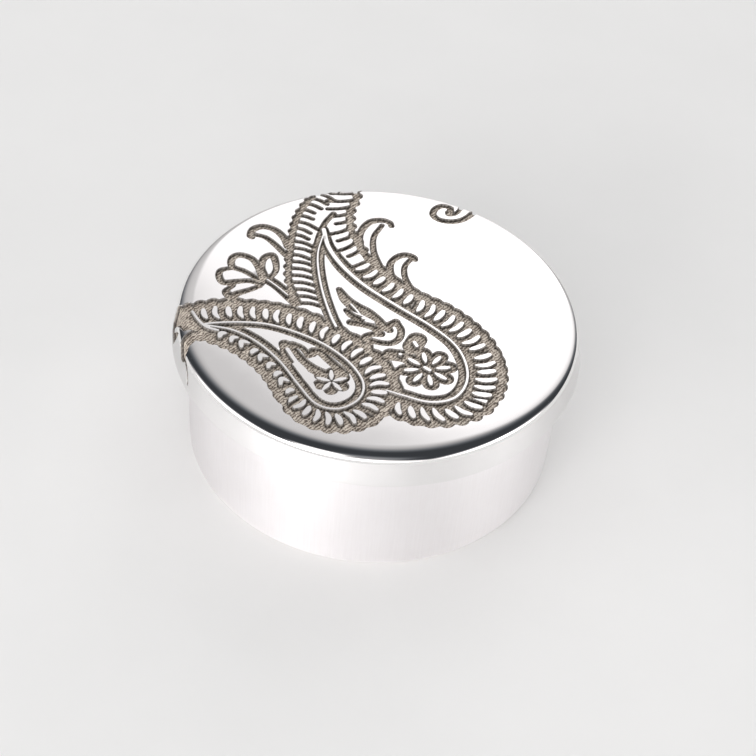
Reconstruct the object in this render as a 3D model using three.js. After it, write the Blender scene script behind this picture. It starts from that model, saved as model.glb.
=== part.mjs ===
// A round pill box in white metal: a turned cup, and a lid whose skirt slips over the cup's wall.
// Millimetres, +Z up. The origin is the centre of the flat face that the box stands on.

import * as THREE from 'three';

// Driving dimensions of the cup
const cupRadius = 23.2;          // outside of the wall, at the mouth
const cupHeight = 19.2;          // from the table to the rim
const cupWall = 1.5;
const cupFloor = 1.6;
const cupDraft = 0.4;            // how much narrower the outside is at the foot than at the mouth
const footRounding = 1.5;        // outside corner between the wall and the base
const innerCornerRadius = 2.0;   // inside corner between the wall and the floor
const rimRounding = 0.5;         // both corners of the rim

// Driving dimensions of the lid
const lidPlate = 1.6;            // thickness of the flat top
const skirtDepth = 2.8;          // how far the skirt reaches down past the rim
const skirtWall = 1.5;           // at the open end
const skirtDraft = 0.6;          // how much narrower the skirt is just under the polished edge
const skirtEndRounding = 0.25;   // both corners of the open end
const edgeWidth = 2.0;           // polished edge of the top, measured inwards
const edgeDrop = 1.2;            // the same edge, measured downwards
const innerEdgeRadius = 0.4;     // inside corner between the plate and the skirt

// Fits
const slipClearance = 0.3;       // between the cup's wall and the skirt, all round

const sides = 72;                // facets round the axis
const quarterSteps = 5;          // facets along a quarter turn of a rounded corner

// Points along an ellipse about (r, z), from one angle to another, in degrees.
function arc(r, z, width, height, from, to, steps = quarterSteps) {
  return Array.from({ length: steps + 1 }, (_, i) => {
    const angle = THREE.MathUtils.degToRad(from + ((to - from) * i) / steps);
    return new THREE.Vector2(r + width * Math.cos(angle), z + height * Math.sin(angle));
  });
}

// Turns a profile of (radius, height) points about +Z. It runs from the axis out and back to it.
function turned(name, profile, material) {
  const geometry = new THREE.LatheGeometry(profile, sides).rotateX(Math.PI / 2);
  const mesh = new THREE.Mesh(geometry, material);
  mesh.name = name;
  return mesh;
}

const point = (r, z) => new THREE.Vector2(r, z);

// The cup stands on a flat base with a rounded foot. Its wall is straight inside and has a slight
// draft outside, and its rim is where the lid rests.
function cup() {
  const footRadius = cupRadius - cupDraft;
  const innerRadius = cupRadius - cupWall;
  const profile = [
    point(0, 0),
    ...arc(footRadius - footRounding, footRounding, footRounding, footRounding, -90, 0),
    ...arc(cupRadius - rimRounding, cupHeight - rimRounding, rimRounding, rimRounding, 0, 90),
    ...arc(innerRadius + rimRounding, cupHeight - rimRounding, rimRounding, rimRounding, 90, 180),
    ...arc(innerRadius - innerCornerRadius, cupFloor + innerCornerRadius,
      innerCornerRadius, innerCornerRadius, 0, -90),
    point(0, cupFloor),
  ];
  return turned('cup', profile, new THREE.MeshStandardMaterial({
    color: 0xf1ebea, roughness: 0.42, metalness: 1,
  }));
}

// The lid is one piece: a flat plate that lies on the rim, an elliptical polished edge, and a skirt
// that goes down round the outside of the cup.
function lid() {
  const seat = cupHeight;
  const top = seat + lidPlate;
  const openEnd = seat - skirtDepth;
  const innerRadius = cupRadius + slipClearance;
  const outerRadius = innerRadius + skirtWall;
  const edgeRadius = outerRadius - skirtDraft;
  const profile = [
    point(0, seat),
    ...arc(innerRadius - innerEdgeRadius, seat - innerEdgeRadius,
      innerEdgeRadius, innerEdgeRadius, 90, 0),
    ...arc(innerRadius + skirtEndRounding, openEnd + skirtEndRounding,
      skirtEndRounding, skirtEndRounding, 180, 270),
    ...arc(outerRadius - skirtEndRounding, openEnd + skirtEndRounding,
      skirtEndRounding, skirtEndRounding, 270, 360),
    ...arc(edgeRadius - edgeWidth, top - edgeDrop, edgeWidth, edgeDrop, 0, 90, 2 * quarterSteps),
    point(0, top),
  ];
  return turned('lid', profile, new THREE.MeshStandardMaterial({
    color: 0xe9e4e6, roughness: 0.16, metalness: 1,
  }));
}

const pillBox = new THREE.Group();
pillBox.add(cup(), lid());

export default pillBox;
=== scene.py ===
import math
import bpy
import bmesh
import numpy as np
from mathutils import Matrix, Vector
from mathutils.geometry import delaunay_2d_cdt


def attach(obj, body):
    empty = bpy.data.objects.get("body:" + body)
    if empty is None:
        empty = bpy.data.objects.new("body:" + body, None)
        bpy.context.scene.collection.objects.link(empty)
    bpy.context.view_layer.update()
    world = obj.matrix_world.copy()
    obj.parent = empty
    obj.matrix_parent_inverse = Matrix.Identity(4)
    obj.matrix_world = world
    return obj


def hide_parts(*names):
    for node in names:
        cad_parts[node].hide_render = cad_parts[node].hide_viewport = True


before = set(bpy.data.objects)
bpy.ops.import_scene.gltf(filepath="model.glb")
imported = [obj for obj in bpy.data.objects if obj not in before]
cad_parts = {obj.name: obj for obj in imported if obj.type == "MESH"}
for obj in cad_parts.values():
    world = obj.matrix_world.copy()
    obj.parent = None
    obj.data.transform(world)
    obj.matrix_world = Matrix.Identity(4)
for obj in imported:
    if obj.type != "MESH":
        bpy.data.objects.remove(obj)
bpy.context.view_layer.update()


# ---------------------------------------------------------------- the cup
# The lower half: a shallow cup turned from aluminium bar and bored out, satin outside with fine
# lines along its height, lathe rings left on its floor and foot. The lid slips over its mouth.
MM = 0.001
CUP_RADIUS = 23.2 * MM            # at its mouth
FOOT_RADIUS = 22.8 * MM
CUP_HEIGHT = 19.2 * MM
CUP_WALL = 1.5 * MM
CUP_FLOOR = 1.6 * MM
RIM_ROUNDING = 0.5 * MM
CORNER_ROUNDING = 2.0 * MM        # inside, between wall and floor
FOOT_ROUNDING = 1.5 * MM
CUP_SIDES = 256


def edit(obj):
    """Opens one object in edit mode with nothing selected, and returns its mesh."""
    bpy.ops.object.select_all(action="DESELECT")
    obj.select_set(True)
    bpy.context.view_layer.objects.active = obj
    bpy.ops.object.mode_set(mode="EDIT")
    bpy.ops.mesh.select_all(action="DESELECT")
    return bmesh.from_edit_mesh(obj.data)


def pick_face(obj, z, upward=True):
    """Selects the flat face at a height that points up or down."""
    mesh = bmesh.from_edit_mesh(obj.data)
    bpy.ops.mesh.select_mode(type="FACE")
    bpy.ops.mesh.select_all(action="DESELECT")
    for face in mesh.faces:
        faces_up = face.normal.z > 0.9 if upward else face.normal.z < -0.9
        if faces_up and abs(face.calc_center_median().z - z) < 1e-6 and len(face.verts) > 4:
            face.select_set(True)
    bmesh.update_edit_mesh(obj.data)


def pick_ring(obj, z, radius):
    """Selects the ring of edges at a height and a distance from the middle."""
    mesh = bmesh.from_edit_mesh(obj.data)
    bpy.ops.mesh.select_mode(type="EDGE")
    bpy.ops.mesh.select_all(action="DESELECT")
    for edge in mesh.edges:
        ends = [v.co for v in edge.verts]
        if all(abs(c.z - z) < 2e-5 and abs(math.hypot(c.x, c.y) - radius) < 2e-5 for c in ends):
            edge.select_set(True)
    bmesh.update_edit_mesh(obj.data)


def round_ring(obj, z, radius, width, steps):
    """Rounds one ring of edges, as a tool with that nose radius leaves it."""
    pick_ring(obj, z, radius)
    bpy.ops.mesh.bevel(offset=width, segments=steps, profile=0.5, affect="EDGES", clamp_overlap=False)


def finished(obj, angle):
    """Leaves edit mode, and shades what is rounder than an angle as smooth."""
    bpy.ops.object.mode_set(mode="OBJECT")
    bpy.ops.object.transform_apply(location=True, rotation=True, scale=True)
    bpy.ops.object.shade_smooth_by_angle(angle=math.radians(angle))


bpy.ops.object.select_all(action="DESELECT")
bpy.ops.mesh.primitive_cylinder_add(vertices=CUP_SIDES, radius=CUP_RADIUS, depth=CUP_HEIGHT,
                                    location=(0, 0, CUP_HEIGHT / 2))
cup = bpy.context.object
cup.name = "cup_body"
bpy.ops.object.transform_apply(location=True)
edit(cup)
pick_face(cup, 0, upward=False)
bpy.ops.transform.resize(value=(FOOT_RADIUS / CUP_RADIUS, FOOT_RADIUS / CUP_RADIUS, 1))
pick_face(cup, CUP_HEIGHT)
bpy.ops.mesh.inset(thickness=CUP_WALL, depth=0)
bpy.ops.mesh.extrude_region_move(TRANSFORM_OT_translate={"value": (0, 0, CUP_FLOOR - CUP_HEIGHT)})
round_ring(cup, CUP_HEIGHT, CUP_RADIUS, RIM_ROUNDING, 4)
round_ring(cup, CUP_HEIGHT, CUP_RADIUS - CUP_WALL, RIM_ROUNDING, 4)
round_ring(cup, CUP_FLOOR, CUP_RADIUS - CUP_WALL, CORNER_ROUNDING, 7)
round_ring(cup, 0, FOOT_RADIUS, FOOT_ROUNDING, 7)
finished(cup, 40)

# The turned metal's grain: fine lines along the height on upright faces, rings on level ones.
grain = bpy.data.node_groups.new("turned grain", "ShaderNodeTree")
for name in ("Lines", "Depth"):
    socket = grain.interface.new_socket(name, in_out="INPUT", socket_type="NodeSocketFloat")
    socket.default_value = 1.0
grain.interface.new_socket("Streak", in_out="OUTPUT", socket_type="NodeSocketFloat")
grain.interface.new_socket("Cloud", in_out="OUTPUT", socket_type="NodeSocketFloat")
grain.interface.new_socket("Normal", in_out="OUTPUT", socket_type="NodeSocketVector")


def add(tree, kind, label=None, **settings):
    """Adds one node to a tree, with its settings and the constants of its sockets."""
    made = tree.nodes.new("ShaderNode" + kind)
    if label:
        made.label = label
    for name, value in settings.items():
        if hasattr(made, name):
            setattr(made, name, value)
        else:
            made.inputs[name.replace("_", " ")].default_value = value
    return made


def wire(tree, *pairs):
    """Joins outputs to inputs, each named by its node and its socket."""
    for (source, out), (target, into) in pairs:
        tree.links.new(source.outputs[out], target.inputs[into])


place = add(grain, "TexCoord")
long_lines = add(grain, "Mapping", "lines along the height", Scale=(5200, 5200, 140))
line_noise = add(grain, "TexNoise", "lines", Scale=1.0, Detail=3.0, Roughness=0.6)
across = add(grain, "VectorMath", "distance from the middle", operation="LENGTH")
flatten = add(grain, "Mapping", "level part", Scale=(1, 1, 0))
ring_count = add(grain, "Math", "tool steps", operation="MULTIPLY")
ring_count.inputs[1].default_value = 4300
ring_noise = add(grain, "TexNoise", "tool marks", noise_dimensions="1D", Scale=1.0, Detail=3.0,
                 Roughness=0.65)
facing = add(grain, "SeparateXYZ", "which way it faces")
level = add(grain, "Math", "level or upright", operation="ABSOLUTE")
level_mask = add(grain, "MapRange", "level faces")
level_mask.inputs["From Min"].default_value = 0.6
level_mask.inputs["From Max"].default_value = 0.85
streak = add(grain, "Mix", "grain of each face")
count_lines = add(grain, "VectorMath", "finer or coarser", operation="SCALE")
cloud = add(grain, "TexNoise", "uneven satin", Scale=160.0, Detail=4.0, Roughness=0.55)
raised = add(grain, "Bump", "grain relief", Distance=0.00002)
way_in = grain.nodes.new("NodeGroupInput")
way_out = grain.nodes.new("NodeGroupOutput")
wire(grain,
     ((place, "Object"), (count_lines, 0)),
     ((way_in, "Lines"), (count_lines, "Scale")),
     ((count_lines, 0), (long_lines, "Vector")),
     ((long_lines, 0), (line_noise, "Vector")),
     ((count_lines, 0), (flatten, "Vector")),
     ((flatten, 0), (across, 0)),
     ((across, "Value"), (ring_count, 0)),
     ((ring_count, 0), (ring_noise, "W")),
     ((place, "Normal"), (facing, 0)),
     ((facing, "Z"), (level, 0)),
     ((level, 0), (level_mask, "Value")),
     ((level_mask, 0), (streak, "Factor")),
     ((line_noise, 0), (streak, "A")),
     ((ring_noise, 0), (streak, "B")),
     ((place, "Object"), (cloud, "Vector")),
     ((streak, 0), (raised, "Height")),
     ((way_in, "Depth"), (raised, "Strength")),
     ((streak, 0), (way_out, "Streak")),
     ((cloud, 0), (way_out, "Cloud")),
     ((raised, 0), (way_out, "Normal")))

satin = bpy.data.materials.new("satin aluminium")
satin.use_nodes = True
tree = satin.node_tree
metal = tree.nodes["Principled BSDF"]
metal.inputs["Metallic"].default_value = 1.0
metal.inputs["IOR"].default_value = 1.45
metal.inputs["Anisotropic"].default_value = 0.7
metal.inputs["Anisotropic Rotation"].default_value = 0.25
turned = tree.nodes.new("ShaderNodeGroup")
turned.node_tree = grain
turned.inputs["Depth"].default_value = 0.25
tone = add(tree, "ValToRGB", "bright lines and duller ones")
tone.color_ramp.elements[0].position = 0.3
tone.color_ramp.elements[0].color = (0.94, 0.915, 0.92, 1)
tone.color_ramp.elements[1].position = 0.68
tone.color_ramp.elements[1].color = (1.0, 0.98, 0.985, 1)
dull = add(tree, "MapRange", "satin, uneven")
dull.inputs["From Min"].default_value = 0.3
dull.inputs["From Max"].default_value = 0.7
dull.inputs["To Min"].default_value = 0.42
dull.inputs["To Max"].default_value = 0.52
blend = add(tree, "Math", "lines and clouds together", operation="MULTIPLY_ADD")
blend.inputs[1].default_value = 0.6
shift = add(tree, "Math", "share of the clouds", operation="MULTIPLY")
shift.inputs[1].default_value = 0.4
around = add(tree, "Tangent", "turned round its axis", direction_type="RADIAL", axis="Z")
wire(tree,
     ((around, 0), (metal, "Tangent")),
     ((turned, "Cloud"), (shift, 0)),
     ((turned, "Streak"), (blend, 0)),
     ((shift, 0), (blend, 2)),
     ((blend, 0), (tone, 0)),
     ((blend, 0), (dull, "Value")),
     ((tone, 0), (metal, "Base Color")),
     ((dull, 0), (metal, "Roughness")),
     ((turned, "Normal"), (metal, "Normal")))
cup.data.materials.append(satin)
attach(cup, "cup")
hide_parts("cup")


# ---------------------------------------------------------------- the lid's top, edge and design
# The lid is turned and polished, then its design is milled 0.4 mm deep with a fine cutter and left
# dark and grainy. The sheet below is the lid's outside laid flat: top, rounded edge, then skirt.
TOP_Z = 20.8                      # millimetres, as all of this section is
FLAT_RADIUS = 22.4
EDGE_WIDTH = 2.0
EDGE_DROP = 1.2
SKIRT_TOP_RADIUS = 24.4
SKIRT_END_RADIUS = 25.0
SKIRT_END_Z = 16.4
SHEET_RADIUS = 27.9               # the skirt's end, measured over the outside
CUT_DEPTH = 0.4
TURN_STEPS = 288
FINE_PITCH = 0.21                 # spacing of the points on a cut's uneven floor

# --- the design, drawn in millimetres on the flattened sheet ---
PITCH = 0.075                     # spacing of the drawing grid
REACH = 28.5                      # half the side of the drawing
axis = np.arange(-REACH, REACH + PITCH, PITCH)
drawing = np.full((len(axis), len(axis)), 1.5)      # distance to the nearest cut edge, rows are y


def line(*points, closed=False):
    """A smooth line through a few points, as points 0.05 mm apart."""
    p = np.array(points, float)
    if closed:
        p = np.vstack([p[-1], p, p[0], p[1]])
    else:
        p = np.vstack([2 * p[0] - p[1], p, 2 * p[-1] - p[-2]])
    out = []
    for a, b, c, d in zip(p[:-3], p[1:-2], p[2:-1], p[3:]):
        n = max(2, int(np.hypot(*(c - b)) / 0.05))
        t = np.linspace(0, 1, n, endpoint=False)[:, None]
        out.append(0.5 * (2 * b + (c - a) * t + (2 * a - 5 * b + 4 * c - d) * t ** 2
                          + (3 * b - 3 * c + d - a) * t ** 3))
    return np.vstack(out + ([] if closed else [p[-2:-1]]))


def spaced(path, count, start=0.0, end=1.0):
    """Points at equal steps along a line, between two shares of its length."""
    run = np.concatenate([[0], np.cumsum(np.hypot(*np.diff(path, axis=0).T))])
    at = run[-1] * np.linspace(start, end, count)
    return np.stack([np.interp(at, run, path[:, 0]), np.interp(at, run, path[:, 1])], -1)


def distance(path, half):
    """The grid window round a line, and the distance there from the line's edge."""
    half = np.broadcast_to(half, len(path))
    lo = np.clip(((path.min(0) - 1.6 + REACH) / PITCH).astype(int), 0, len(axis) - 1)
    hi = np.clip(((path.max(0) + 1.6 + REACH) / PITCH).astype(int), 1, len(axis))
    near = np.full((hi[1] - lo[1], hi[0] - lo[0]), 1.5)
    for i in range(0, len(path), 30):
        part, wide = path[i:i + 31], half[i:i + 31]
        a = np.maximum(((part.min(0) - 1.6 + REACH) / PITCH).astype(int), lo)
        b = np.minimum(((part.max(0) + 1.6 + REACH) / PITCH).astype(int), hi)
        if (b <= a).any():
            continue
        x, y = np.meshgrid(axis[a[0]:b[0]], axis[a[1]:b[1]])
        gap = np.hypot(x[..., None] - part[:, 0], y[..., None] - part[:, 1]) - wide
        part_near = near[a[1] - lo[1]:b[1] - lo[1], a[0] - lo[0]:b[0] - lo[0]]
        np.minimum(part_near, gap.min(-1), out=part_near)
    return (slice(lo[1], hi[1]), slice(lo[0], hi[0])), near


def cut(path, width, blend=0.18):
    """Cuts a groove along a line; it runs into what is cut already with a small fillet."""
    window, near = distance(path, np.asarray(width) / 2)
    old = drawing[window]
    mix = np.maximum(blend - np.abs(old - near), 0) / blend
    drawing[window] = np.minimum(old, near) - mix * mix * blend / 4


def leave(path, width):
    """Leaves a ridge of the polished face standing along a line."""
    window, near = distance(path, np.asarray(width) / 2)
    drawing[window] = np.maximum(drawing[window], -near)


def taper(path, *widths):
    """Widths along a line, between the values given at equal steps."""
    return np.interp(np.linspace(0, 1, len(path)), np.linspace(0, 1, len(widths)), widths)


def arched(a, b, bulge):
    """A short line from a to b that bows to its left by a share of its length."""
    a, b = np.asarray(a, float), np.asarray(b, float)
    side = np.array([a[1] - b[1], b[0] - a[0]])
    return line(a, (a + b) / 2 + bulge * side, b)


def stretch(path, a, b, count):
    """Points at equal steps along the part of a line between the places nearest to a and b."""
    i, j = (int(np.hypot(*(path - np.array(p)).T).argmin()) for p in (a, b))
    return spaced(path[i:j + 1] if i < j else path[j:i + 1][::-1], count)


def teeth(outer, inner, width, bulge=0.0, reach=(1,)):
    """Grooves from each point of one row towards its partner in the other."""
    for i, (a, b) in enumerate(zip(outer, inner)):
        cut(arched(a, a + (b - a) * reach[i % len(reach)], bulge), width, 0.25)


def slots(outer, inner, start, end, width, bulge=0.0):
    """Polished slots left standing between two borders, no two quite alike."""
    for k, (a, b) in enumerate(zip(outer, inner)):
        sway = math.sin(2.4 * k + 9 * width)
        first, last = start - 0.03 * sway, end + 0.04 * sway
        path = arched(a + (b - a) * first, a + (b - a) * last, bulge * (1 + 0.5 * sway))
        wide = width * (1 + 0.1 * math.sin(4.1 * k))
        leave(path, taper(path, 0.72 * wide, wide, wide, 0.9 * wide, 0.4 * wide))


def scallops(points, radius):
    """Round bumps along a border."""
    for p in points:
        cut(np.array([p, p + 0.01]), 2 * radius, 0.12)


# The large drop: scalloped border, ladder of short grooves, and a double line round its inside.
big_left = line((-7.2, 26.5), (-9.3, 22.3), (-10.7, 19.2), (-11.6, 15.5), (-11.7, 10), (-11.4, 4.6),
                (-9.9, 0.2))
big_right = line((-5.2, 26.5), (-4.2, 22), (-4.8, 18.6), (-4.4, 15), (-3.3, 12.3), (-1.9, 9.7),
                 (0.2, 7.2), (2.6, 5), (5.2, 3.3), (8.2, 1.7), (11.1, -0.8), (13.4, -3.9), (14.8, -8),
                 (14.7, -12), (12.9, -15.7), (9.6, -17.7), (6, -18.2), (2.8, -17.3))
big_feet = line((-7.4, 26), (-7.9, 20.2), (-7.4, 15), (-5.8, 10.3), (-3.4, 6.8), (-0.2, 3.7), (4, 0.5),
                (8.2, -2.6), (10.9, -6), (11.6, -9.2), (10.9, -13), (9, -15.2), (6, -15.5), (2.6, -15.1))
left_feet = line((-6.6, 26), (-6.9, 20.6), (-8.6, 16.5), (-8.5, 10), (-7.8, 3), (-6.9, -0.6))
for border in (big_left, big_right):
    cut(border, 0.85)
scallops(spaced(big_left, 21) - (0.14, 0), 0.58)
scallops(spaced(big_right, 40) + (0.1, 0.05), 0.72)
teeth(stretch(big_left, (-8.6, 24.4), (-11.3, 16.9), 7), stretch(left_feet, (-6.6, 22.8), (-8.6, 16.2), 7),
      0.74, 0.08, (1, 0.7, 0.95, 0.8, 0.75, 0.62, 0.7))
teeth(stretch(big_left, (-11.5, 15.7), (-9.8, 0), 13), stretch(left_feet, (-8.4, 14.5), (-7, 0), 13),
      0.74, 0.09, (1, 0.72, 0.66, 0.9, 1, 0.75, 1, 1, 1, 1, 1, 1, 1))
teeth(stretch(big_right, (-4.4, 22.5), (-2.9, 11.4), 9), stretch(big_feet, (-7.2, 22), (-5, 9.1), 9),
      0.72, 0.06, (0.9, 1, 0.95, 0.75, 0.62, 0.95, 0.75, 1, 0.7))
ladders = [(stretch(big_right, a, b, n), stretch(big_feet, c, d, n)) for n, a, b, c, d in (
    (6, (-1.4, 8.9), (4.1, 4), (-3.7, 7.1), (2.7, 1.5)),
    (8, (5.4, 3.2), (13.4, -3.9), (4.4, 0.2), (10.6, -5.6)),
    (6, (14.2, -5.6), (14.5, -12.9), (11.3, -7), (11, -12.6)),
    (7, (13.3, -15.2), (3.4, -17.6), (10.3, -14.1), (3.1, -15.1)))]
left_rail = line((-7.9, 13.4), (-8.25, 10), (-7.9, 6.5), (-7, 2.4), (-5.8, -1.4), (-5, -3.3))
right_rail = line((-7.9, 14.6), (-7, 11.2), (-5, 7.8), (-2.1, 4.6), (2, 1.4), (6.4, -1.8), (9.4, -4.8),
                  (10.8, -8.2), (10.8, -11.4), (9.4, -13.9), (6.7, -14.8), (3.6, -14.1), (1.6, -13.5))
cut(left_rail, 1.75)
cut(right_rail, taper(right_rail, 1.3, 2.2, 2.4, 2.4, 2.3, 2.1, 2.0))
cut(line((-6.9, 17.9), (-7.9, 15.7), (-8.4, 12.6)), 0.85)

# The small drop on the left, which runs off over the edge of the lid.
low_border = line((-27.4, -2.2), (-24.4, -2.1), (-22.2, -1.9), (-19.6, -1), (-16, -0.6), (-12.6, -0.7),
                  (-9.4, -1.4), (-6.6, -2.6), (-4, -4.3), (-1.4, -6.1), (0.7, -8.5), (2.2, -11),
                  (2.4, -14.4), (1.2, -17.5), (-0.9, -19.6), (-4, -20.5), (-7.2, -19.7), (-9.7, -17.3),
                  (-11, -14.8), (-13, -11.8), (-16, -9.1), (-19.4, -7.5), (-21.7, -7.6), (-22.8, -9.2))
cut(low_border, 0.9)
scallops(spaced(low_border, 50), 0.72)
drop = line((-20.6, -5), (-17, -4.1), (-13, -4.0), (-9, -5.2), (-5.6, -7), (-2.7, -9.7), (-1.1, -12.7),
            (-1.5, -15.4), (-3.7, -17.2), (-6.3, -16.7), (-8.6, -13.8), (-11, -10.3), (-14, -7.3),
            (-17.2, -5.5), closed=True)
cut(drop, 2.0)
low_ladders = [(stretch(low_border, a, b, n), stretch(drop, c, d, n)) for n, a, b, c, d in (
    (9, (-21.4, -1.6), (-9.2, -1.5), (-20.1, -4.8), (-9.3, -5.1)),
    (7, (-7.6, -2.2), (1.2, -9.2), (-8, -5.7), (-1.5, -11.4)),
    (5, (2, -10.6), (1.5, -17.1), (-1.1, -12.2), (-1.7, -15.8)),
    (7, (0.2, -18.7), (-9, -18), (-2.7, -16.7), (-7.2, -15.8)))]
crescents = (stretch(low_border, (-10.6, -15.8), (-19.2, -7.6), 9),
             stretch(drop, (-8.3, -14.3), (-17.2, -5.5), 9))
for outer, inner in ladders + low_ladders + [crescents]:
    teeth(outer, inner, 1.8)
for y in (-3.2, -4.9):
    cut(line((-20.6, y), (-24, y - 0.1), (-27.3, y + 0.5)), 2.4)
cut(line((-19, -6.8), (-21.3, -6.9), (-22.5, -8), (-23.2, -9.5)), 1.8)
island = line((-23.1, -9), (-22.8, -10.9), (-23.4, -12.6), (-24.4, -13.6))
cut(island, taper(island, 0.9, 0.55, 0.4, 0.3))

# What stands proud again: the thin rails and the slots of the ladders.
leave(left_rail, taper(left_rail, 0.12, 0.2, 0.22, 0.3))
leave(right_rail, taper(right_rail, 0.5, 0.5, 0.35, 0.3, 0.22, 0.24, 0.3, 0.2))
leave(drop, 0.24)
leave(line((-22.3, -2.9), (-21.4, -4.3), (-20.3, -5.4), (-18.9, -5.8)), 0.3)
leave(line((-25.6, -4.4), (-24.2, -5.3), (-23, -6.7)), 0.55)
for outer, inner in ladders:
    slots(outer, inner, 0.22, 0.84, 0.66, 0.08)
for outer, inner in low_ladders:
    slots(outer, inner, 0.25, 0.74, 0.64, -0.1)
slots(*crescents, 0.32, 0.68, 0.6, 0.45)

# Two curled leaves that grow from the back of the large drop, and one from its left border.
def leaf(back, belly, width):
    """A curled leaf: a thick outer stroke and a thinner inner one, joined at both ends."""
    back, belly = line(*back), line(*belly)
    cut(back, taper(back, width, 1.1 * width, width, 1.15 * width, 0.85 * width))
    cut(belly, taper(belly, 0.75 * width, 0.9 * width, width))


leaf(((-1.6, 9.4), (-2.7, 10.9), (-3.3, 13), (-3.1, 15.1), (-2.2, 16.8), (-0.8, 17.4), (0.3, 17.1),
      (0.6, 16.4)),
     ((-0.6, 16.4), (-1.5, 14), (-1.4, 11.4), (-0.8, 9.4), (-0.2, 7.8)), 0.98)
leaf(((1.4, 6), (0.9, 7.6), (0.9, 9.2), (1.7, 10.5), (2.8, 11), (3.7, 10.7), (3.9, 10.2)),
     ((3.5, 10.5), (2.7, 8.9), (2.7, 7.2), (3.3, 5.4), (4.2, 4.1)), 0.96)
leaf(((-12.1, 10.6), (-12.7, 12.2), (-13.9, 13.6), (-15.5, 14.1), (-16.7, 13.4), (-17, 12.2),
      (-16.7, 11.8)),
     ((-16.4, 12.4), (-15, 12), (-13.7, 10.8), (-12.2, 9)), 1.0)

# An open flower on a stem, left of the large drop.
for petal in (
        ((-14.1, 4.4), (-14.9, 6.3), (-14.8, 8), (-13.9, 8.7), (-13.4, 7.8), (-13.1, 6.2), (-13.4, 5),
         (-14, 4.5)),
        ((-14.7, 4), (-15.4, 6.3), (-16.3, 7.7), (-17.8, 8.2), (-18.7, 7.4), (-18.5, 5.9), (-16.9, 5.2),
         (-15, 3.9)),
        ((-18.6, 5.6), (-19.8, 5), (-19.9, 3.9), (-19.2, 2.8), (-17.6, 3.2), (-16.2, 3.5), (-14.6, 3.1)),
        ((-18, 2.4), (-18.8, 1.2), (-18.2, 0.4), (-17.2, 1.1), (-15.9, 1.9), (-14.8, 2.7))):
    petal = line(*petal)
    cut(petal, taper(petal, 0.75, 0.95, 1.1, 0.9, 0.8))
cut(line((-14.2, 4.2), (-12.7, 3.1), (-10.4, 0.6)), 1.6)
leave(line((-14, 4.1), (-12.6, 2.9), (-11.3, 1.6)), 0.16)
cut(line((-18.4, 0.9), (-17.4, 0), (-16.6, -0.6)), 0.9)

# Inside the small drop: a folded leaf and a flower with six lobes.
SMALL_FLOWER = (-4.8, -12.8)
LARGE_FLOWER = (6.2, -9.3)


def spoke(centre, degrees, *reaches):
    """A line that runs straight out from a flower's middle, through each distance given."""
    out = np.array([math.cos(math.radians(degrees)), math.sin(math.radians(degrees))])
    return line(*(out * reach + centre for reach in reaches))


cut(line((-10.8, -7.2), (-9.8, -8.3), (-8.6, -9.8), (-7.3, -10.9), (-6, -11.6)), 1.5)
cut(line((-11, -7.2), (-10.8, -8.4), (-9.8, -10)), 0.9)
cut(line((-9.9, -7), (-8.7, -7.6), (-7.8, -8.9)), 0.85)
cut(line((-7.4, -8.5), (-7.3, -7.9), (-6.4, -8.2), (-5.4, -9.3), (-4.4, -10.3), (-3.4, -11.2)), 1.15)
for i in range(6):
    cut(spoke(SMALL_FLOWER, 30 + 60 * i, 0.2, 1.45), 1.75)
for i in range(5):
    ray = spoke(SMALL_FLOWER, 24 + 72 * i, 0.3, 0.9, 1.7)
    leave(ray, taper(ray, 0.2, 0.55, 0.3))
leave(line((-10.4, -8), (-9.2, -10), (-8, -11.4), (-7.2, -13.2), (-6.6, -14.6)), 0.45)

# Inside the large drop: a long leaf with side shoots, a bud, and a flower with eight petals.
stem = line((-5.1, 3.4), (-4.2, 1.7), (-3, 0.5), (-1.5, -0.3), (-0.2, -1.4), (0.7, -2.7))
cut(stem, taper(stem, 0.9, 1.5, 1.8, 1.6, 1.3, 1.4))
shoot = line((-4, -0.3), (-3.2, -1.2), (-2, -1.6))
cut(shoot, taper(shoot, 0.8, 1.1, 0.9))
cut(line((-3.3, -2.4), (-1.6, -2.6), (-0.3, -3.1), (0.4, -4)), 1.15)
cut(line((0.4, -4), (-0.7, -4.2), (-1.4, -4.8), (-0.2, -5.4), (1.6, -5.5), (2.6, -4.6), (2.8, -3),
         (2.1, -1.6)), 1.0)
cut(line((2.1, -1.6), (1.2, -2.5), (1.4, -3.2)), 1.1)
leave(line((-3.5, 0.9), (-2.8, 0), (-2.3, -0.8)), 0.2)
leave(line((-1.9, -1.4), (-1.2, -1.6), (-0.6, -2)), 0.35)
cut(line((4.3, -5.7), (4.8, -4.4)), 2.5)
leave(line((4.8, -5.5), (4.5, -4.9)), 0.42)
cut(line((1.8, -7.4), (3.2, -7.5)), 2.1)
leave(line((2.9, -7.2), (3.6, -7.5), (4.3, -7.6)), 0.38)
for i in range(8):
    cut(spoke(LARGE_FLOWER, 12 + 45 * i, 0.4, 2.65), 2.05)
for i in range(8):
    petal = spoke(LARGE_FLOWER, 12 + 45 * i, 1.15, 1.8, 2.6)
    leave(petal, taper(petal, 0.2, 0.5, 0.55, 0.35))
leave(line((5.9, -9.1), (6.5, -9.5)), 0.4)
cut(line((3.2, -12.9), (2.6, -11.6), (2.7, -10)), 0.9)

# A scroll that runs off over the back of the lid.
cut(line((8, 20.4), (7.9, 21.2), (6.9, 21.4), (6, 20.6), (5.8, 19.4), (6.7, 18.5), (8.4, 18.4),
         (9.9, 19.2), (11, 20.8), (12, 23.2)), 0.98)
cut(line((7.6, 20.2), (7.8, 19.7), (8.6, 20), (9.2, 21), (9.6, 23)), 0.7)


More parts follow.
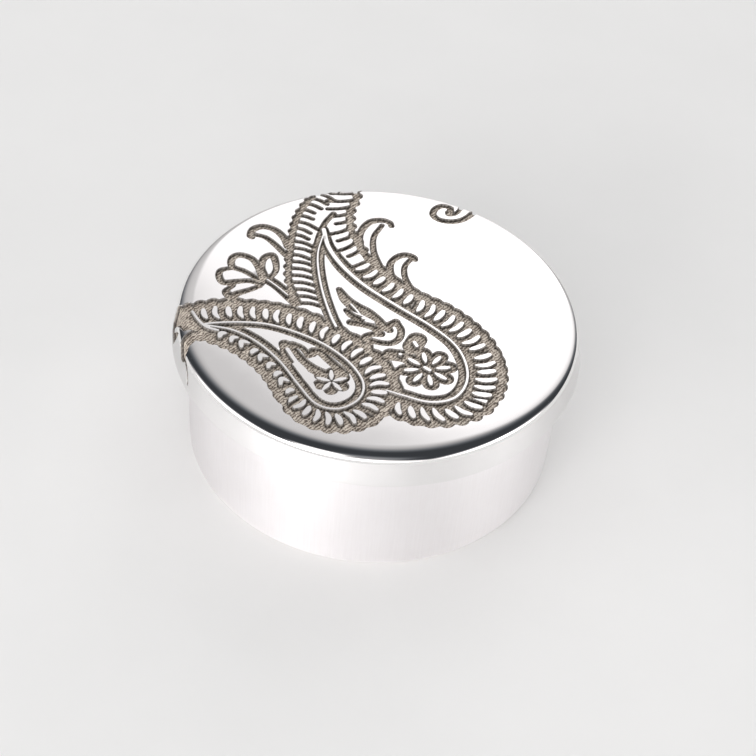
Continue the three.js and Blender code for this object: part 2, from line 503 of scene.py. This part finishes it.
def outlines(value):
    """The lines along which the drawing holds one value, thinned to what their bends need."""
    above = drawing > value
    point, links, lines = {}, {}, []
    j, i = np.nonzero(above[:, :-1] != above[:, 1:])
    at = axis[i] + PITCH * (value - drawing[j, i]) / (drawing[j, i + 1] - drawing[j, i])
    point.update(((a, b, 0), (x, axis[a])) for a, b, x in zip(j, i, at))
    cells = set(zip(j, i)) | set(zip(j - 1, i))
    j, i = np.nonzero(above[:-1] != above[1:])
    at = axis[j] + PITCH * (value - drawing[j, i]) / (drawing[j + 1, i] - drawing[j, i])
    point.update(((a, b, 1), (axis[b], y)) for a, b, y in zip(j, i, at))
    cells |= set(zip(j, i)) | set(zip(j, i - 1))
    for j, i in cells:
        sides = [e for e in ((j, i, 0), (j, i + 1, 1), (j + 1, i, 0), (j, i, 1)) if e in point]
        if len(sides) == 4 and above[j, i] != (drawing[j:j + 2, i:i + 2].mean() > value):
            sides = sides[1:] + sides[:1]
        for a, b in zip(sides[::2], sides[1::2]):
            links.setdefault(a, []).append(b)
            links.setdefault(b, []).append(a)
    while links:
        first = next((k for k in links if len(links[k]) == 1), next(iter(links)))
        chain = [first]
        while links.get(chain[-1]):
            last = chain[-1]
            onward = links[last].pop()
            links[onward].remove(last)
            if not links[last]:
                del links[last]
            chain.append(onward)
        links.pop(chain[-1], None)
        lines.append(np.array([point[k] for k in chain]))
    return [thinned(p) for p in lines if len(p) > 8]


def thinned(path, slack=0.012):
    """Leaves out the points of a line that lie within a hair of the straight way past them."""
    keep = np.zeros(len(path), bool)
    third = len(path) // 3
    two_thirds = 2 * len(path) // 3
    keep[[0, third, two_thirds, -1]] = True
    spans = [(0, third), (third, two_thirds), (two_thirds, len(path) - 1)]
    while spans:
        a, b = spans.pop()
        if b - a < 2:
            continue
        way = path[b] - path[a]
        off = np.abs(way[0] * (path[a:b, 1] - path[a, 1]) - way[1] * (path[a:b, 0] - path[a, 0]))
        off /= max(np.hypot(*way), 1e-9)
        if off.max() > slack or np.hypot(*way) > 1.2:
            m = a + (int(off.argmax()) if off.max() > slack else (b - a) // 2)
            m = min(max(m, a + 1), b - 1)
            keep[m] = True
            spans += [(a, m), (m, b)]
    return path[keep]


# The sheet is cut into triangles along the outlines of the design and along rings round the edge.
plan, joins = [], []
drawing = np.maximum(drawing, np.hypot(*np.meshgrid(axis, axis)) - (SHEET_RADIUS - 0.5))
for value in (0, -0.05, -0.12):
    for path in outlines(value):
        joins += [(len(plan) + k, len(plan) + k + 1) for k in range(len(path) - 1)]
        plan += [tuple(p) for p in path]
quarter = np.linspace(0, math.pi / 2, 400)
run = np.concatenate([[0], np.cumsum(np.hypot(np.diff(EDGE_WIDTH * np.sin(quarter)),
                                              np.diff(EDGE_DROP * np.cos(quarter))))])
rings = [FLAT_RADIUS + run[-1] * k / 11 for k in range(12)]
rings += [rings[-1] + (SHEET_RADIUS - rings[-1]) * k / 6 for k in range(1, 7)]
for radius in rings:
    turn = np.arange(TURN_STEPS) * 2 * math.pi / TURN_STEPS
    joins += [(len(plan) + k, len(plan) + (k + 1) % TURN_STEPS) for k in range(TURN_STEPS)]
    plan += [(radius * math.cos(a), radius * math.sin(a)) for a in turn]


def drawn(x, y):
    """The drawing's value at points of the sheet."""
    i, j = (x + REACH) / PITCH, (y + REACH) / PITCH
    i0, j0 = i.astype(int), j.astype(int)
    u, v = i - i0, j - j0
    return ((drawing[j0, i0] * (1 - u) + drawing[j0, i0 + 1] * u) * (1 - v)
            + (drawing[j0 + 1, i0] * (1 - u) + drawing[j0 + 1, i0 + 1] * u) * v)


chance = np.random.default_rng(7)
x, y = np.meshgrid(np.arange(-27.5, 27.5, FINE_PITCH), np.arange(-27.5, 27.5, FINE_PITCH))
x = (x + chance.uniform(-0.08, 0.08, x.shape)).ravel()
y = (y + chance.uniform(-0.08, 0.08, y.shape)).ravel()
inside = drawn(x, y) < -0.19
plan += list(zip(x[inside], y[inside]))
points, _, faces, *_ = delaunay_2d_cdt([Vector(p) for p in plan], joins, [], 0, 1e-5)
flat = np.array(points)
x, y = flat.T
far = np.hypot(x, y)
gap = drawn(x, y)
depth = np.interp(-gap, (0, 0.05, 0.12, 0.5), (0, 0.04, CUT_DEPTH - 0.03, CUT_DEPTH))
depth += np.where(gap < -0.15, chance.uniform(-0.035, 0.02, len(gap)), 0)
turned_to = np.interp(far - FLAT_RADIUS, run, quarter)
down = np.maximum(far - FLAT_RADIUS - run[-1], 0)
skirt_way = np.array([SKIRT_END_RADIUS - SKIRT_TOP_RADIUS, SKIRT_END_Z - TOP_Z + EDGE_DROP])
skirt_way /= np.hypot(*skirt_way)
out_by = np.where(far < FLAT_RADIUS, far,
                  FLAT_RADIUS + EDGE_WIDTH * np.sin(turned_to) + down * skirt_way[0])
height = TOP_Z - EDGE_DROP * (1 - np.cos(turned_to)) + down * skirt_way[1]
lean = np.stack([EDGE_DROP * np.sin(turned_to), EDGE_WIDTH * np.cos(turned_to)])
lean /= np.hypot(*lean)
lean = np.where(down > 0.01, np.array([[-skirt_way[1]], [skirt_way[0]]]), lean)
out_by -= lean[0] * depth
height -= lean[1] * depth
scale = np.where(far > 1e-6, out_by / np.maximum(far, 1e-6), 1)
shape = np.stack([x * scale, y * scale, height], -1) * MM

sheet = bpy.data.meshes.new("lid_top")
sheet.from_pydata(shape.tolist(), [], [list(f) for f in faces])
# The 'wall' values mark each cut's steep sides and the corners at their foot, where the lid's material
# paints shade.
for name, values in (("cut", np.clip(-gap / 0.06, 0, 1)),
                     ("wall", np.interp(-gap, (0.02, 0.06, 0.12, 0.2), (0, 1, 1, 0)))):
    layer = sheet.attributes.new(name, "FLOAT", "POINT")
    layer.data.foreach_set("value", values.astype(np.float32))
lid = bpy.data.objects.new("lid_body", sheet)
bpy.context.scene.collection.objects.link(lid)
edit(lid)
bpy.ops.mesh.select_mode(type="EDGE")
mesh = bmesh.from_edit_mesh(lid.data)
for edge in mesh.edges:
    edge.select_set(len(edge.link_faces) == 1)
bmesh.update_edit_mesh(lid.data)
rim = far > SHEET_RADIUS - 0.01
ring_r = float(out_by[rim].mean())
ring_z = float(height[rim].mean())
# Round the skirt's end, up its inside, and in across the plate's underside.
for r, z in ((24.95, 16.60), (24.88, 16.47), (24.74, 16.4), (23.72, 16.4), (23.56, 16.46), (23.5, 16.62),
             (23.5, 18.8), (23.44, 19.03), (23.3, 19.15), (23.1, 19.2), (14, 19.2), (5, 19.2)):
    bpy.ops.mesh.extrude_region_move(TRANSFORM_OT_translate={"value": (0, 0, (z - ring_z) * MM)})
    bpy.ops.transform.resize(value=(r / ring_r, r / ring_r, 1), center_override=(0, 0, z * MM))
    ring_r, ring_z = r, z
bpy.ops.mesh.edge_face_add()
bpy.ops.mesh.select_all(action="SELECT")
bpy.ops.mesh.normals_make_consistent(inside=False)
finished(lid, 20)

polish = bpy.data.materials.new("polished aluminium")
polish.use_nodes = True
tree = polish.node_tree
metal = tree.nodes["Principled BSDF"]
metal.inputs["IOR"].default_value = 1.45
metal.inputs["Anisotropic Rotation"].default_value = 0.25
turned = tree.nodes.new("ShaderNodeGroup")
turned.node_tree = grain
turned.inputs["Depth"].default_value = 0.22
spot = add(tree, "TexCoord")
cut_mask = add(tree, "Attribute", "milled away", attribute_name="cut")
# Mask for the painted shade on the cuts' steep sides.
painted_shade_mask = add(tree, "Attribute", "steep side of a cut", attribute_name="wall")
upright = add(tree, "SeparateXYZ", "height")
skirt_mask = add(tree, "MapRange", "satin skirt under the edge")
for socket, value in (("From Min", 19.66 * MM), ("From Max", 19.56 * MM)):
    skirt_mask.inputs[socket].default_value = value
grit = add(tree, "TexNoise", "milled grit", Scale=3300.0, Detail=2.0, Roughness=0.6)
grime = add(tree, "TexNoise", "darkened patches", Scale=900.0, Detail=3.0, Roughness=0.6)
haze = add(tree, "TexNoise", "polishing haze", Scale=220.0, Detail=5.0, Roughness=0.6)
earth = add(tree, "ValToRGB", "darkened metal")
earth.color_ramp.elements[0].position = 0.36
earth.color_ramp.elements[0].color = (0.14, 0.112, 0.09, 1)
earth.color_ramp.elements[1].position = 0.62
earth.color_ramp.elements[1].color = (0.82, 0.745, 0.65, 1)
half_dark = earth.color_ramp.elements.new(0.47)
half_dark.color = (0.40, 0.34, 0.285, 1)
strokes = add(tree, "Mapping", "cutter strokes", Rotation=(0, 0, math.radians(38)))
hatch = add(tree, "TexWave", "cutter strokes", Scale=860.0, Distortion=6.0, Detail=3.0)
hatch.inputs["Detail Scale"].default_value = 2.5
ploughed = add(tree, "Mix", "grit along the strokes")
ploughed.inputs["Factor"].default_value = 0.3
dirt_sum = add(tree, "Math", "grit and patches", operation="MULTIPLY_ADD")
dirt_sum.inputs[1].default_value = 0.75
dirt_part = add(tree, "Math", "share of the patches", operation="MULTIPLY")
dirt_part.inputs[1].default_value = 0.25
# Painted shade: the cuts' steep sides and the corners at their foot are darkened to 0.22 of the floor's
# colour.
painted_wall_shade = add(tree, "MapRange", "dark steep sides")
painted_wall_shade.inputs["To Min"].default_value = 1.0
painted_wall_shade.inputs["To Max"].default_value = 0.22
cut_colour_with_painted_shade = add(tree, "Mix", "cut floor", data_type="RGBA", blend_type="MULTIPLY")
cut_colour_with_painted_shade.inputs["Factor"].default_value = 1.0
bright = add(tree, "ValToRGB", "polished metal")
bright.color_ramp.elements[0].color = (0.90, 0.89, 0.885, 1)
bright.color_ramp.elements[1].color = (0.95, 0.94, 0.935, 1)
surface = add(tree, "Mix", "polish or cut", data_type="RGBA")
gloss = add(tree, "MapRange", "polish, slightly hazed")
gloss.inputs["From Min"].default_value = 0.3
gloss.inputs["From Max"].default_value = 0.7
gloss.inputs["To Min"].default_value = 0.05
gloss.inputs["To Max"].default_value = 0.09
satin_gloss = add(tree, "MapRange", "satin skirt")
satin_gloss.inputs["From Min"].default_value = 0.3
satin_gloss.inputs["From Max"].default_value = 0.7
satin_gloss.inputs["To Min"].default_value = 0.42
satin_gloss.inputs["To Max"].default_value = 0.52
outer_gloss = add(tree, "Mix", "top or skirt")
cut_gloss = add(tree, "Mix", "polish or cut roughness")
cut_gloss.inputs["B"].default_value = 0.62
metallic = add(tree, "MapRange", "bare or darkened")
metallic.inputs["To Min"].default_value = 1.0
metallic.inputs["To Max"].default_value = 0.45
relief = add(tree, "Bump", "grit relief", Distance=0.00009)
skirt_grain = add(tree, "Mix", "grain on the skirt", data_type="VECTOR")
bare = add(tree, "NewGeometry")
around = add(tree, "Tangent", "turned round its axis", direction_type="RADIAL", axis="Z")
stretched = add(tree, "Math", "highlights drawn out on the skirt", operation="MULTIPLY")
stretched.inputs[1].default_value = 0.7
wire(tree,
     ((spot, "Object"), (upright, 0)), ((upright, "Z"), (skirt_mask, "Value")),
     ((spot, "Object"), (grit, "Vector")), ((spot, "Object"), (grime, "Vector")),
     ((spot, "Object"), (haze, "Vector")),
     ((spot, "Object"), (strokes, "Vector")), ((strokes, 0), (hatch, "Vector")),
     ((grit, 0), (ploughed, "A")), ((hatch, "Fac"), (ploughed, "B")),
     ((grime, 0), (dirt_part, 0)), ((ploughed, 0), (dirt_sum, 0)), ((dirt_part, 0), (dirt_sum, 2)),
     ((dirt_sum, 0), (earth, 0)), ((painted_shade_mask, "Fac"), (painted_wall_shade, "Value")),
     ((earth, 0), (cut_colour_with_painted_shade, "A")), ((painted_wall_shade, 0), (cut_colour_with_painted_shade, "B")),
     ((haze, 0), (bright, 0)), ((haze, 0), (gloss, "Value")),
     ((cut_mask, "Fac"), (surface, "Factor")), ((bright, 0), (surface, "A")),
     ((cut_colour_with_painted_shade, "Result"), (surface, "B")),
     ((turned, "Streak"), (satin_gloss, "Value")),
     ((skirt_mask, 0), (outer_gloss, "Factor")), ((gloss, 0), (outer_gloss, "A")),
     ((satin_gloss, 0), (outer_gloss, "B")),
     ((cut_mask, "Fac"), (cut_gloss, "Factor")), ((outer_gloss, 0), (cut_gloss, "A")),
     ((cut_mask, "Fac"), (metallic, "Value")),
     ((cut_mask, "Fac"), (relief, "Strength")), ((ploughed, 0), (relief, "Height")),
     ((skirt_mask, 0), (skirt_grain, "Factor")), ((bare, "Normal"), (skirt_grain, "A")),
     ((turned, "Normal"), (skirt_grain, "B")), ((skirt_grain, "Result"), (relief, "Normal")),
     ((around, 0), (metal, "Tangent")), ((skirt_mask, 0), (stretched, 0)),
     ((stretched, 0), (metal, "Anisotropic")),
     ((surface, "Result"), (metal, "Base Color")), ((cut_gloss, 0), (metal, "Roughness")),
     ((metallic, 0), (metal, "Metallic")), ((relief, 0), (metal, "Normal")))
lid.data.materials.append(polish)
lid.data.materials.append(satin)
for face in lid.data.polygons:
    centre = face.center
    inner = math.hypot(centre.x, centre.y) < 23.6 * MM and centre.z < 19.3 * MM
    face.material_index = 1 if inner or face.normal.z < -0.9 else 0
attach(lid, "lid")
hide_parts("lid")


# ---------------------------------------------------------------- the studio
# A plain pale table, a soft grey wall and white panels behind the box, and a dark space above it that
# the rounded edge mirrors. Lamps and pale walls stand low down at the front and at both sides.
bpy.ops.object.select_all(action="DESELECT")
bpy.ops.mesh.primitive_plane_add(size=3, location=(0, 0, 0))
table = bpy.context.object
table.name = "table"
paper = bpy.data.materials.new("pale paper")
paper.use_nodes = True
sheen = paper.node_tree.nodes["Principled BSDF"]
sheen.inputs["Roughness"].default_value = 0.9
sheen.inputs["Specular IOR Level"].default_value = 0.1
where = add(paper.node_tree, "TexCoord")
fibre = add(paper.node_tree, "TexNoise", "paper", Scale=60.0, Detail=4.0)
paper_tone = add(paper.node_tree, "ValToRGB", "pale paper")
paper_tone.color_ramp.elements[0].color = (0.80, 0.80, 0.79, 1)
paper_tone.color_ramp.elements[1].color = (0.84, 0.84, 0.83, 1)
wire(paper.node_tree, ((where, "Object"), (fibre, "Vector")), ((fibre, 0), (paper_tone, 0)),
     ((paper_tone, 0), (sheen, "Base Color")))
table.data.materials.append(paper)

world = bpy.data.worlds.new("studio")
world.use_nodes = True
bpy.context.scene.world = world
sky = world.node_tree
ground = sky.nodes["Background"]
direction = add(sky, "TexCoord")


def aimed(turn, lift):
    """The direction at so many degrees round from the back, clockwise, and above the table."""
    t, h = math.radians(turn), math.radians(lift)
    return (math.sin(t) * math.cos(h), math.cos(t) * math.cos(h), math.sin(h))


total = None
for label, pole, stops in (
        # the grey wall behind, fading into a dark room
        ("grey wall", aimed(3, 31), ((62, 0.05), (55, 0.07), (49, 0.13), (43, 0.25), (37, 0.38), (31, 0.52),
                                    (20, 0.62))),
        # the white panels in front of it, wide and low, higher on the right
        ("white panel", aimed(5, 22), ((25, 0), (20, 0.55), (0, 0.6))),
        ("right panel", aimed(30, 36), ((29, 0), (20, 0.45), (0, 0.6))),
        # a tall soft lamp at the front left
        ("left lamp", aimed(-146, 12), ((24, 0), (14, 4), (0, 5))),
        ("left lamp's top", aimed(-154, 40), ((18, 0), (10, 1.2), (0, 1.5))),
        # the pale room low down at the front, a small lamp at the right, a grey board in front
        ("left room", aimed(-112, -6), ((44, 0), (28, 1.7), (0, 2.2))),
        ("right room", aimed(116, -8), ((44, 0), (28, 1.7), (0, 2.2))),
        ("front room", aimed(-175, -4), ((46, 0), (30, 1.7), (0, 2.2))),
        ("right lamp", aimed(111, 15), ((9, 0), (6, 3), (0, 4))),
        ("board", aimed(180, 44), ((28, 0), (10, 0.2), (0, 0.25)))):
    toward = add(sky, "VectorMath", label, operation="DOT_PRODUCT")
    toward.inputs[1].default_value = pole
    curve = add(sky, "FloatCurve", label)
    curve.mapping.clip_max_y = 6
    curve.mapping.extend = "HORIZONTAL"
    falloff = curve.mapping.curves[0].points
    for k, (angle, value) in enumerate(((90, stops[0][1]),) + stops):
        if k < 2:
            falloff[k].location = (math.cos(math.radians(angle)), value)
        else:
            falloff.new(math.cos(math.radians(angle)), value)
    for p in falloff:
        p.handle_type = "AUTO_CLAMPED"
    curve.mapping.update()
    wire(sky, ((direction, "Generated"), (toward, 0)), ((toward, "Value"), (curve, "Value")))
    if total is None:
        total = curve
    else:
        plus = add(sky, "Math", "all lights", operation="ADD")
        wire(sky, ((total, 0), (plus, 0)), ((curve, 0), (plus, 1)))
        total = plus
wire(sky, ((total, 0), (ground, "Strength")))
tint = add(sky, "ValToRGB", "cool dark, warm light")
tint.color_ramp.elements[0].color = (0.80, 0.88, 1.0, 1)
tint.color_ramp.elements[1].position = 0.4
tint.color_ramp.elements[1].color = (1.0, 0.98, 0.985, 1)
wire(sky, ((total, 0), (tint, 0)), ((tint, 0), (ground, "Color")))


def softbox(name, centre, aim, size, watts):
    """A flat lamp that faces a point."""
    lamp = bpy.data.lights.new(name, "AREA")
    lamp.shape = "RECTANGLE"
    lamp.size, lamp.size_y = size
    lamp.energy = watts
    stand = bpy.data.objects.new(name, lamp)
    stand.location = centre
    stand.rotation_euler = (Vector(aim) - Vector(centre)).to_track_quat("-Z", "Y").to_euler()
    bpy.context.scene.collection.objects.link(stand)
    return stand


# The table's own lamps hang where the metal doesn't mirror them.
for name, centre, watts in (("overhead", (0, 0.1, 0.7), 1.65), ("front", (0, -0.6, 0.45), 2.1),
                            ("left", (-0.6, 0.1, 0.45), 0.85), ("right", (0.6, 0.1, 0.45), 0.65)):
    lamp = softbox(name, centre, (0, 0, 0), (0.9, 0.9), watts)
    lamp.visible_glossy = False


# ---------------------------------------------------------------- the camera
# It looks down at 44 degrees from a little over a hand's length away, turned slightly clockwise,
# with the middle of the box's height just off the centre of its view.
ANGLE, ROLL, DISTANCE = 0.7617, 0.0898, 237.1 * MM
away = Vector((0, -math.cos(ANGLE), math.sin(ANGLE)))
ahead = -away
side = Vector((1, 0, 0))
above = side.cross(ahead)
ahead = (ahead + 0.0024 * side - 0.0022 * above).normalized()
side = ahead.cross(Vector((0, 0, 1))).normalized()
above = side.cross(ahead)
right = math.cos(ROLL) * side + math.sin(ROLL) * above
up = -math.sin(ROLL) * side + math.cos(ROLL) * above
lens = bpy.data.cameras.new("camera")
lens.sensor_width = 36
lens.lens = 90.56
lens.clip_start = 0.01
camera = bpy.data.objects.new("camera", lens)
camera.matrix_world = Matrix.Translation(Vector((0, 0, 10.39 * MM)) + away * DISTANCE) @ Matrix(
    (right, up, -ahead)).transposed().to_4x4()
bpy.context.scene.collection.objects.link(camera)
bpy.context.scene.camera = camera
bpy.context.scene.view_settings.view_transform = "Standard"
